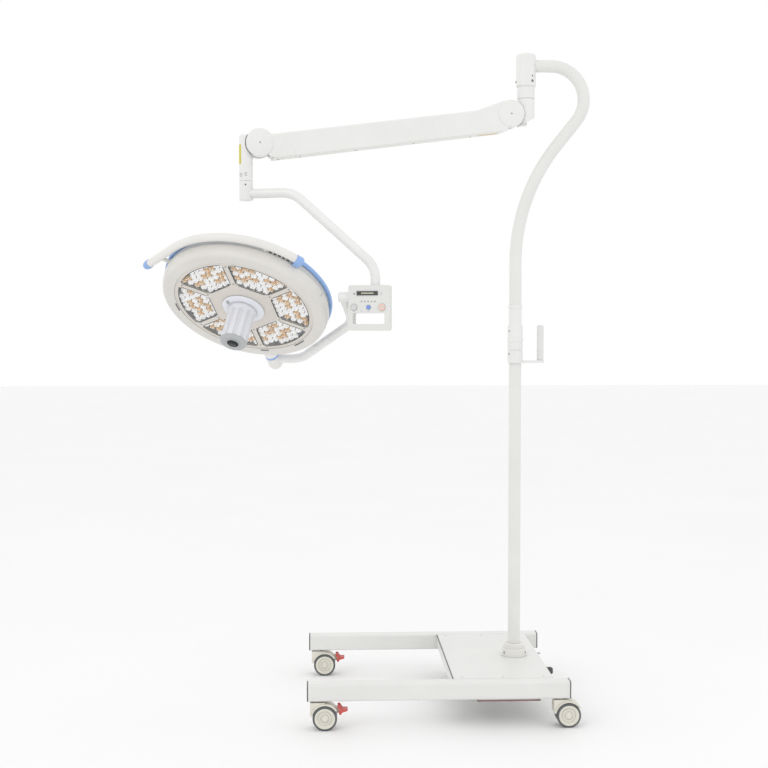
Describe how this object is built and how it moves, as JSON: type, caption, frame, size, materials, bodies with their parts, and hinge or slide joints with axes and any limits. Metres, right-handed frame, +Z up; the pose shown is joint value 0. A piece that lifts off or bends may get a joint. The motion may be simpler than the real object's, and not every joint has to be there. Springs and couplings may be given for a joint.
{
  "type": "mobile surgical light",
  "caption": "Surgical light on a wheeled U-shaped base: bent pole, spring arm, drop tube with control box, yoke and round LED head with centre handle.",
  "frame": {"origin": "on the floor, under the middle of the outer box at rest", "axes": "+Z up, +X along the base's beams towards the pole's side, +Y to the back; the lamp's face looks to -Y and down"},
  "size_m": [1.4329, 0.7412, 2.116],
  "materials": {
    "white_paint": "satin powder coat, warm white",
    "arm_paint": "satin white paint on cast aluminium",
    "white_plastic": "fine satin moulding, warm white",
    "grey_plastic": "satin moulding, mid grey",
    "dark_plastic": "matt moulding, charcoal",
    "castor_cream": "satin nylon, cream",
    "castor_tyre": "matt dark grey tread",
    "brake_red": "satin nylon, red",
    "blue_plastic": "satin moulding, light blue",
    "bare_steel": "turned steel",
    "clear_pane": "clear polycarbonate",
    "display_pane": "dark gloss display window",
    "board": "populated circuit board",
    "power_steel": "painted sheet steel",
    "button_grey": "gloss moulding, grey",
    "button_blue": "gloss moulding, blue",
    "button_orange": "gloss moulding, orange ring"
  },
  "bodies": {
    "base": {"frame_beams": "white_paint", "beam_end_caps": "dark_plastic", "deck": "white_paint", "power_box": "power_steel", "power_supply": "board", "mains_gland": "dark_plastic", "bonding_pin": "bare_steel", "castor_stems": "bare_steel", "pole_socket": "white_plastic", "pole": "white_paint", "pole_sleeve": "arm_paint", "push_handle": "arm_paint", "push_grip": "grey_plastic", "bent_tube": "white_paint", "arm_hub": "arm_paint"},
    "arm_carrier": {"arm_knuckle": "arm_paint"},
    "spring_arm": {"arm_shell": "arm_paint", "arm_cover": "white_plastic", "arm_spring": "bare_steel", "pivot_pins": "bare_steel"},
    "levelling_rod": {"level_link": "bare_steel"},
    "front_carrier": {"front_knuckle": "arm_paint"},
    "drop_assembly": {"drop_tube": "arm_paint", "control_box": "white_plastic", "display_window": "display_pane", "control_board": "board"},
    "mode_key": {"mode_button": "button_grey"},
    "focus_key": {"focus_button": "button_blue"},
    "power_key": {"power_button": "button_orange"},
    "yoke_frame": {"yoke": "arm_paint", "head_hub": "white_plastic"},
    "lamp_head": {"hub_collar": "blue_plastic", "front_bezel": "white_plastic", "vent_band": "grey_plastic", "trim_ring": "blue_plastic", "back_cover": "white_plastic", "led_panel": "white_plastic", "led_windows": "clear_pane", "led_boards": "board", "head_pivot": "arm_paint", "handlebar": "white_plastic", "handlebar_caps": "blue_plastic", "handle_flange": "white_plastic", "camera_module": "dark_plastic"},
    "sterile_handle": {"handle_grip": "white_plastic", "handle_end_ring": "grey_plastic"},
    "castor_front_left": {"castor_hood_fl": "castor_cream"},
    "wheels_front_left": {"castor_wheels_fl": "castor_cream", "castor_tyres_fl": "castor_tyre"},
    "pedal_front_left": {"brake_pedal_fl": "brake_red"},
    "castor_back_left": {"castor_hood_bl": "castor_cream"},
    "wheels_back_left": {"castor_wheels_bl": "castor_cream", "castor_tyres_bl": "castor_tyre"},
    "pedal_back_left": {"brake_pedal_bl": "brake_red"},
    "castor_front_right": {"castor_hood_fr": "castor_cream"},
    "wheels_front_right": {"castor_wheels_fr": "castor_cream", "castor_tyres_fr": "castor_tyre"},
    "castor_back_right": {"castor_hood_br": "castor_cream"},
    "wheels_back_right": {"castor_wheels_br": "castor_cream", "castor_tyres_br": "castor_tyre"}
  },
  "joints": [
    {"name": "swivel_front_left", "type": "hinge", "parent": "base", "child": "castor_front_left", "pos_m": [-0.1755, -0.2915, 0.08], "axis": [0, 0, 1], "continuous": true},
    {"name": "roll_front_left", "type": "hinge", "parent": "castor_front_left", "child": "wheels_front_left", "pos_m": [-0.1515, -0.2915, 0.0375], "axis": [0, 1, 0], "continuous": true},
    {"name": "brake_front_left", "type": "hinge", "parent": "castor_front_left", "child": "pedal_front_left", "pos_m": [-0.1075, -0.2915, 0.0615], "axis": [0, 1, 0], "range_deg": [0, 14]},
    {"name": "swivel_back_left", "type": "hinge", "parent": "base", "child": "castor_back_left", "pos_m": [-0.1755, 0.3485, 0.08], "axis": [0, 0, 1], "continuous": true},
    {"name": "roll_back_left", "type": "hinge", "parent": "castor_back_left", "child": "wheels_back_left", "pos_m": [-0.1515, 0.3485, 0.0375], "axis": [0, 1, 0], "continuous": true},
    {"name": "brake_back_left", "type": "hinge", "parent": "castor_back_left", "child": "pedal_back_left", "pos_m": [-0.1075, 0.3485, 0.0615], "axis": [0, 1, 0], "range_deg": [0, 14]},
    {"name": "swivel_front_right", "type": "hinge", "parent": "base", "child": "castor_front_right", "pos_m": [0.5725, -0.2915, 0.08], "axis": [0, 0, 1], "continuous": true},
    {"name": "roll_front_right", "type": "hinge", "parent": "castor_front_right", "child": "wheels_front_right", "pos_m": [0.5965, -0.2915, 0.0375], "axis": [0, 1, 0], "continuous": true},
    {"name": "swivel_back_right", "type": "hinge", "parent": "base", "child": "castor_back_right", "pos_m": [0.5725, 0.3485, 0.08], "axis": [0, 0, 1], "continuous": true},
    {"name": "roll_back_right", "type": "hinge", "parent": "castor_back_right", "child": "wheels_back_right", "pos_m": [0.5485, 0.3485, 0.0375], "axis": [0, 1, 0], "continuous": true},
    {"name": "arm_swivel", "type": "hinge", "parent": "base", "child": "arm_carrier", "pos_m": [0.508, 0.0285, 1.97], "axis": [0, 0, 1], "range_deg": [-150, 140]},
    {"name": "arm_pitch", "type": "hinge", "parent": "arm_carrier", "child": "spring_arm", "pos_m": [0.45071, 0.01943, 1.918], "axis": [-0.1564, 0.9877, 0], "range_deg": [-35, 30]},
    {"name": "front_levelling", "type": "hinge", "parent": "spring_arm", "child": "front_carrier", "pos_m": [-0.35404, -0.10803, 1.80204], "axis": [-0.1564, 0.9877, 0], "range_deg": [-30, 35]},
    {"name": "link_pitch", "type": "hinge", "parent": "arm_carrier", "child": "levelling_rod", "pos_m": [0.45071, 0.01943, 1.896], "axis": [-0.1564, 0.9877, 0], "range_deg": [-35, 30]},
    {"name": "drop_swivel", "type": "hinge", "parent": "front_carrier", "child": "drop_assembly", "pos_m": [-0.39454, -0.11445, 1.80204], "axis": [0, 0, 1], "range_deg": [-165, 165]},
    {"name": "yoke_tilt", "type": "hinge", "parent": "drop_assembly", "child": "yoke_frame", "pos_m": [-0.39454, -0.11445, 1.32], "axis": [0.9613, -0.2756, 0], "range_deg": [-42, 96]},
    {"name": "head_turn", "type": "hinge", "parent": "yoke_frame", "child": "lamp_head", "pos_m": [-0.39454, -0.11445, 1.32], "axis": [0.223, 0.7777, -0.5878], "range_deg": [-78, 72]},
    {"name": "handle_twist", "type": "hinge", "parent": "lamp_head", "child": "sterile_handle", "pos_m": [-0.39454, -0.11445, 1.32], "axis": [0.2121, 0.5498, 0.8079], "range_deg": [-45, 45]},
    {"name": "mode_press", "type": "slide", "parent": "drop_assembly", "child": "mode_key", "axis": [0.2756, 0.9613, 0], "range_m": [0, 0.002], "stiffness_N_per_m": 300},
    {"name": "focus_press", "type": "slide", "parent": "drop_assembly", "child": "focus_key", "axis": [0.2756, 0.9613, 0], "range_m": [0, 0.002], "stiffness_N_per_m": 300},
    {"name": "power_press", "type": "slide", "parent": "drop_assembly", "child": "power_key", "axis": [0.2756, 0.9613, 0], "range_m": [0, 0.002], "stiffness_N_per_m": 300}
  ],
  "couplings": [
    {"joint": "front_levelling", "follows": "arm_pitch", "ratio": -1},
    {"joint": "link_pitch", "follows": "arm_pitch", "ratio": 1}
  ]
}
